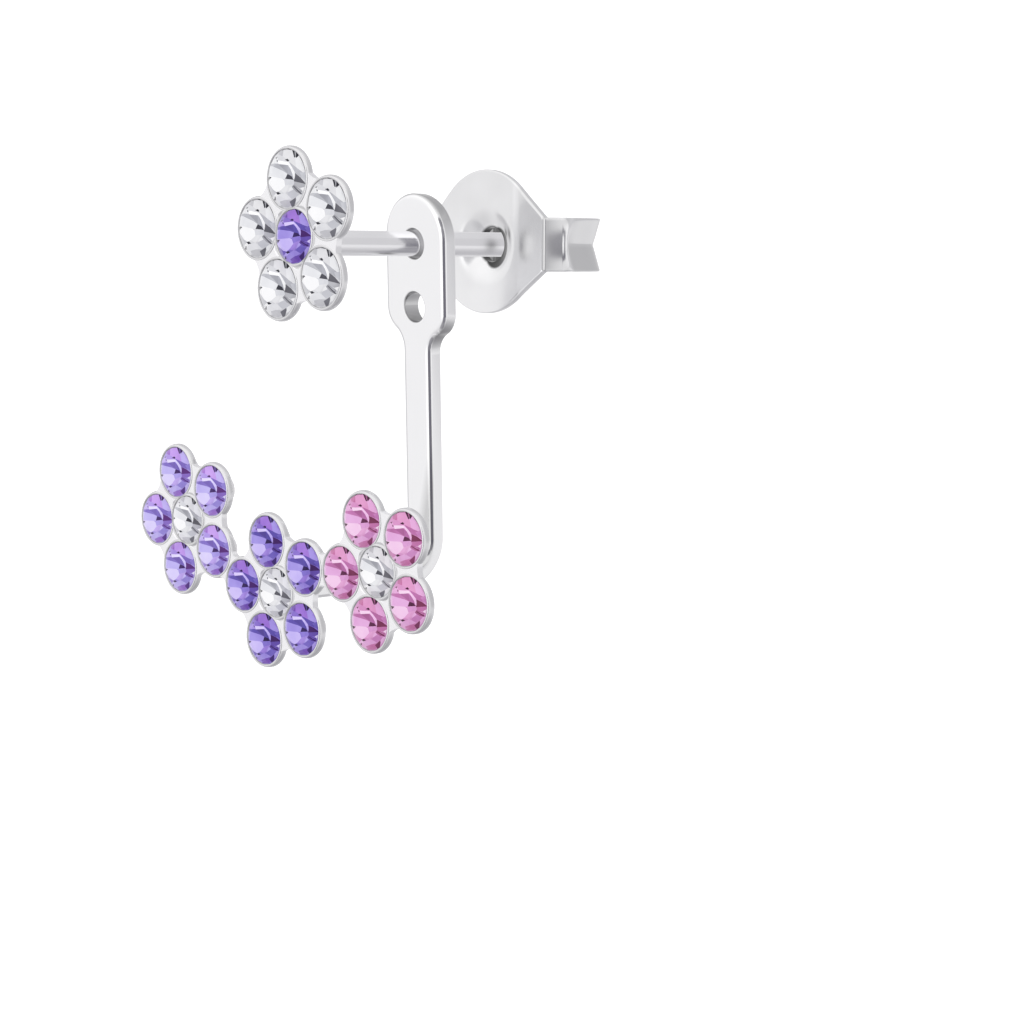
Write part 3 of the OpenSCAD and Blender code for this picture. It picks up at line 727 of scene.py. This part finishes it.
def plate_edge(angle):
    """Outline of the plate by angle from +x, as a distance from the hole's middle: a skin drawn tight round
    the disc and both bands' ends, found in each direction as the nearest of the lines that touch them."""
    facing = np.linspace(0, 2 * np.pi, 1440, endpoint=False)
    touch = np.maximum(plate_r + plate_rise * np.sin(facing),
                       plate_corner * np.abs(np.cos(facing)) + band_half * np.abs(np.sin(facing)))
    slant, edgewise = np.cos(angle[:, None] - facing), 0.05
    return np.where(slant > edgewise, touch / np.maximum(slant, edgewise), nothing_near).min(1)


def hump(value, middle, width):
    """A soft hump of height 1: the bell curve of the distance from its middle in shares of its width."""
    return np.exp(-(((value - middle) / width) ** 2))


angle = np.linspace(0, 2 * np.pi, 360, endpoint=False)
rim = plate_edge(angle)
shares = np.linspace(0, 1, 26)[:, None]
slope = np.linspace(0, 1, 30)[:, None]
dip = dish_depth * (1 - np.sin(slope * np.pi / 2) ** dish_bulge)
inner = nut_hole_r + slope * (dish_r - nut_hole_r)
edge_t = np.linspace(0, np.pi / 2, 6)[1:, None]
front_r = np.concatenate([inner + 0 * rim, dish_r + shares[1:] * (rim - edge - dish_r),
                          rim - edge + edge * np.sin(edge_t)])
front_y = np.concatenate([dip + 0 * rim, 0 * shares[1:] + 0 * rim, edge * (1 - np.cos(edge_t)) + 0 * rim])
back_r = front_r[::-1]
back_y = sheet + np.concatenate([-edge * (1 - np.cos(edge_t[::-1])) + 0 * rim, 0 * shares[1:] + 0 * rim,
                                 dip[::-1] + 0 * rim])
radius = np.concatenate([front_r, back_r, front_r[:1]])
y = np.concatenate([front_y, back_y, front_y[:1]])
plate_x, plate_z = radius * np.cos(angle), radius * np.sin(angle)
# Painted shade down the dish's throat: the metal darkens towards the hole, over a wider ring on its lower
# right.
mouth_soft, mouth_wide, mouth_aim, throat_shade = 0.08, 0.33, 0.4, 0.07
mouth = nut_hole_r + mouth_soft + mouth_wide * np.clip(np.cos(angle + mouth_aim), 0, 1)
throat = np.clip(1 + (radius - mouth) / mouth_soft, throat_shade, 1)
# Painted shade and light on the right flank: darker above the middle, lighter below; a painted highlight runs
# down ridge_x above the middle.
flank_x, flank_soft, flank_dark, ridge_x, ridge_light = 1.62, 0.12, 0.07, 1.5, 0.05
flank = np.clip((plate_x - flank_x) / flank_soft, 0, 1) * flank_dark * np.clip(plate_z / 0.8, -1, 1)
ridge = ridge_light * hump(plate_x, ridge_x, 0.1) * np.clip(plate_z / 0.5, 0, 1)
# Two dark painted reflections right of the hole, a little above its middle.
funnel_reflections = (0.8 * hump(plate_x, 0.92, 0.11) * hump(plate_z, 0.4, 0.16)
          + 0.55 * hump(plate_x, 1.2, 0.09) * hump(plate_z, 0.36, 0.2))
# Painted shade: the plate also darkens slightly towards its top.
plate_shade = (0.95 - 0.02 * plate_z - flank + ridge) * (1 - funnel_reflections) * throat
plate = np.stack([plate_x, y, plate_z, plate_shade], -1)
nut_shells = [(plate, False, True)]

fold_r, bend_in, run_start, fold_angle = 0.12, 0.35, corner_r + 0.25, -42
first_fold = np.radians(np.linspace(-90, fold_angle, 8))
second_fold = np.radians(np.linspace(fold_angle, 0, 12))
run_t = np.linspace(0, 1, 14)[1:]
loop_t = np.linspace(0, loop_end, 64)[1:]
path = np.concatenate([
    np.stack([np.linspace(plate_corner - 0.35, plate_corner, 4)[:-1], np.zeros(3)], -1),
    np.stack([plate_corner + fold_r * np.cos(first_fold), fold_r + fold_r * np.sin(first_fold)], -1),
    np.stack([scroll_x - bend_in * (1 - np.cos(second_fold)), run_start + bend_in * np.sin(second_fold)], -1),
    np.stack([scroll_x + 0 * run_t, run_start + (scroll_run - 0.25) * run_t], -1),
    np.stack([loop_x + loop_r * np.cos(loop_t), corner_r + scroll_run + loop_r * np.sin(loop_t)], -1)])
ahead = np.gradient(path, axis=0)
ahead = ahead / np.hypot(*ahead.T)[:, None]
inward = np.stack([-ahead[:, 1], ahead[:, 0]], -1)
travel = np.concatenate([[0], np.hypot(*np.diff(path, axis=0).T).cumsum()])
ring_t = np.linspace(0, np.pi / 2, 5)
flat_z = np.linspace(-1, 1, 33) * (band_half - edge)
round_z = band_half - edge + edge * np.sin(ring_t[1:])
round_in = edge * (1 - np.cos(ring_t[1:]))
ring_z = np.concatenate([flat_z, round_z, round_z[::-1], flat_z[::-1], -round_z, -round_z[::-1]])
ring_in = np.concatenate([0 * flat_z, round_in, sheet - round_in[::-1], sheet + 0 * flat_z,
                          sheet - round_in, round_in[::-1]])
crease_start, crease_bow, crease_depth, crease_run, crease_out = 1.45, 0.28, 0.26, 1.4, 1.5
past = travel[:, None] - crease_start + crease_bow * (1 - (ring_z / band_half) ** 2)
crease = (crease_depth * np.clip(past / crease_run, 0, 1) ** 0.5
          * np.clip((travel[-1] - travel) / crease_out, 0, 1)[:, None])
fold = 0.06 * hump(past, 0, 0.13) * (1 - (ring_z / band_half) ** 4)
pull = crease * (1 - np.abs(ring_z) / band_half) - fold
tuck_run, tuck = 0.3, 0.008
hidden = np.clip(1 - travel / tuck_run, 0, 1)[:, None] * tuck * (0.5 - ring_in / sheet)
band_xy = path[:, None] + (ring_in + pull + hidden)[..., None] * inward[:, None]
# Painted shade and light on the bands: crease_side_shade lightens the creased run above its crease and
# darkens it below, curl_end darkens the scrolls' last stretch towards the post, hollow darkens their insides,
# bend_line darkens the first fold, and band_shade adds a painted highlight where the crease begins.
crease_side_shade = np.clip(past / 0.15, 0, 1) * (0.04 - 0.14 * np.clip(0.5 - ring_z / 0.2, 0, 1))
curl_end = 0.8 * np.clip((travel - travel[-1] + 1.9) / 0.6, 0, 1)[:, None]
hollow = 0.6 * (ring_in > sheet / 2) * np.clip(travel - 1, 0, 1)[:, None]
bend_line = 0.16 * hump(travel, 0.41, 0.08)[:, None]
band_shade = (0.86 + 0.14 * hump(past, 0, 0.12) + crease_side_shade) * (1 - hollow - bend_line) * (1 - curl_end)
band = np.stack([band_xy[..., 0], band_xy[..., 1], ring_z + 0 * pull, band_shade], -1)
band = np.concatenate([band[:1].mean(1, keepdims=True) + 0 * band[:1], band,
                       band[-1:].mean(1, keepdims=True) + 0 * band[-1:]])
nut_shells += [(band, False, True), (band * np.array([-1, 1, 1, 1]), False, True)]
turned_nut = []
for grid, wrap_rows, wrap_cols in nut_shells:
    x, y, z, shade = np.moveaxis(grid, -1, 0)
    y = y + flank_bend * np.clip((np.abs(x) - flank_start) / (plate_corner - flank_start), 0, 1) ** 1.3
    placed = np.stack([x * np.cos(nut_turn) - z * np.sin(nut_turn), y + nut_y,
                       x * np.sin(nut_turn) + z * np.cos(nut_turn), shade], -1)
    turned_nut.append((placed, wrap_rows, wrap_cols))
ear_nut = metal_piece("ear_nut_pressed", turned_nut)
ear_nut.data.materials.append(silver("satin silver, nut", (0.96, 0.96, 0.97), 0.15, 0.08, 0.3, smudge=0.12))
ear_nut.visible_glossy = False
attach(ear_nut, "nut")
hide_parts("ear_nut")

# Studio.
# A plain floor of white paper that sweeps up all round, and soft light from pale walls, brighter in front
# than behind. Lamp screens and grey cards stand round the earring, and the silver shows them as soft shapes.
floor_r, floor_z, sweep_r = 0.5, -0.03, 0.35
swing = np.linspace(0, np.pi / 2, 24)
angle = np.linspace(0, 2 * np.pi, 96, endpoint=False)
bowl_r = np.concatenate([[0.0], np.linspace(0.02, floor_r, 8), floor_r + sweep_r * np.sin(swing[1:])])
bowl_z = np.concatenate([np.zeros(9), sweep_r * (1 - np.cos(swing[1:]))]) + floor_z
bowl = np.stack([bowl_r[:, None] * np.cos(angle), bowl_r[:, None] * np.sin(angle),
                 bowl_z[:, None] + 0 * angle], -1)
floor = metal_piece("floor", [(bowl / mm, False, True)])
paper = bpy.data.materials.new("white paper")
paper.use_nodes = True
paper_shader = paper.node_tree.nodes["Principled BSDF"]
paper_shader.inputs["Base Color"].default_value = (0.9, 0.9, 0.9, 1)
paper_shader.inputs["Roughness"].default_value = 0.9
paper_shader.inputs["Emission Color"].default_value = (1, 1, 1, 1)
paper_shader.inputs["Emission Strength"].default_value = 0.4
floor.data.materials.append(paper)
floor.visible_glossy = False
floor.visible_diffuse = False
floor.visible_shadow = False

world = bpy.data.worlds.new("studio")
bpy.context.scene.world = world
world.use_nodes = True
nodes, links = world.node_tree.nodes, world.node_tree.links
backing = nodes["Background"]
way = nodes.new("ShaderNodeTexCoord")
aims = nodes.new("ShaderNodeSeparateXYZ")
links.new(way.outputs["Generated"], aims.inputs["Vector"])
height = nodes.new("ShaderNodeMapRange")
height.inputs["From Min"].default_value = -1
links.new(aims.outputs["Z"], height.inputs["Value"])


def grey(level):
    """Colour of a wall or card: neutral where bright and a touch of violet added as it gets darker."""
    return level, level - 0.004, level + 0.03 * (1 - level), 1


def wall(levels):
    """Brightness of a wall by height, straight lines between pairs of the sine of the height above the
    horizon and the brightness."""
    ramp = nodes.new("ShaderNodeValToRGB")
    stops = ramp.color_ramp.elements
    for sine, level in levels[1:-1]:
        stops.new((sine + 1) / 2)
    for stop, (sine, level) in zip(stops, levels):
        stop.color = grey(level)
    links.new(height.outputs["Result"], ramp.inputs["Fac"])
    return ramp.outputs["Color"]


back_wall = wall([(-1.0, 0.45), (-0.74, 0.52), (-0.6, 0.62), (-0.5, 0.68), (-0.38, 0.82), (-0.145, 0.86),
                  (-0.118, 0.75), (-0.08, 0.7), (-0.055, 0.62), (0.03, 0.66), (0.15, 0.66), (0.6, 0.66),
                  (0.67, 0.74), (0.74, 0.68), (0.9, 0.9), (1.0, 1.0)])
front_wall = wall([(-1.0, 0.6), (-0.7, 0.82), (-0.45, 0.93), (0.0, 0.94), (0.3, 1.0), (0.7, 1.1),
                   (1.0, 1.1)])
side = nodes.new("ShaderNodeMapRange")
side.interpolation_type = "SMOOTHSTEP"
side.inputs["From Min"].default_value = -0.2
side.inputs["From Max"].default_value = 0.35
links.new(aims.outputs["Y"], side.inputs["Value"])
room = nodes.new("ShaderNodeMix")
room.data_type = "RGBA"
links.new(side.outputs["Result"], room.inputs[0])
links.new(front_wall, room.inputs[6])
links.new(back_wall, room.inputs[7])
shade = room.outputs[2]
# Each lamp screen or card: direction, half angle of its even middle and of its faded edge, and brightness.
cards = [((-0.75, 0.65, -0.1), 20, 50, 0.76), ((0.2, -0.95, 0.1), 18, 42, 1.25),
         ((1.0, -0.05, -0.1), 12, 30, 0.9), ((-0.95, -0.15, -0.25), 6, 16, 0.62),
         ((0.25, -0.55, -0.8), 10, 18, 0.35), ((0.5, -0.66, -0.56), 8, 15, 0.25),
         ((0.56, -0.72, 0.4), 8, 15, 0.3), ((0.68, -0.73, 0.05), 9, 16, 0.3),
         ((0.66, -0.7, -0.265), 9, 15, 0.17)]
for aim, middle, faded, brightness in cards:
    aim = np.array(aim) / np.linalg.norm(aim)
    facing = nodes.new("ShaderNodeVectorMath")
    facing.operation = "DOT_PRODUCT"
    facing.inputs[1].default_value = aim
    links.new(way.outputs["Generated"], facing.inputs[0])
    fade = nodes.new("ShaderNodeMapRange")
    fade.interpolation_type = "SMOOTHSTEP"
    fade.inputs["From Min"].default_value = np.cos(np.radians(faded))
    fade.inputs["From Max"].default_value = np.cos(np.radians(middle))
    links.new(facing.outputs["Value"], fade.inputs["Value"])
    mix = nodes.new("ShaderNodeMix")
    mix.data_type = "RGBA"
    share, under, over = mix.inputs[0], mix.inputs[6], mix.inputs[7]
    over.default_value = grey(brightness)
    links.new(fade.outputs["Result"], share)
    links.new(shade, under)
    shade = mix.outputs[2]
links.new(shade, backing.inputs["Color"])
bpy.context.scene.view_settings.view_transform = "Standard"

# Camera.
# It stands where the photograph was taken from, in front, to the right and a little above, and is turned a
# few degrees about its own axis.
azimuth, elevation, roll = np.radians((44.85, 9.66, 3.88))
eye = np.array([0.06051, -0.05065, 0.00494])
forward = np.array([-np.sin(azimuth) * np.cos(elevation), np.cos(azimuth) * np.cos(elevation),
                    -np.sin(elevation)])
level = np.array([np.cos(azimuth), np.sin(azimuth), 0])
upward = np.cross(level, forward)
right = level * np.cos(roll) + upward * np.sin(roll)
top = -level * np.sin(roll) + upward * np.cos(roll)
camera_data = bpy.data.cameras.new("camera")
camera_data.lens = 84.375
camera_data.sensor_width = 36
camera_data.clip_start = 0.005
camera = bpy.data.objects.new("camera", camera_data)
bpy.context.scene.collection.objects.link(camera)
pose = np.eye(4)
pose[:3, 0], pose[:3, 1], pose[:3, 2], pose[:3, 3] = right, top, -forward, eye
camera.matrix_world = pose.T.tolist()
bpy.context.scene.camera = camera
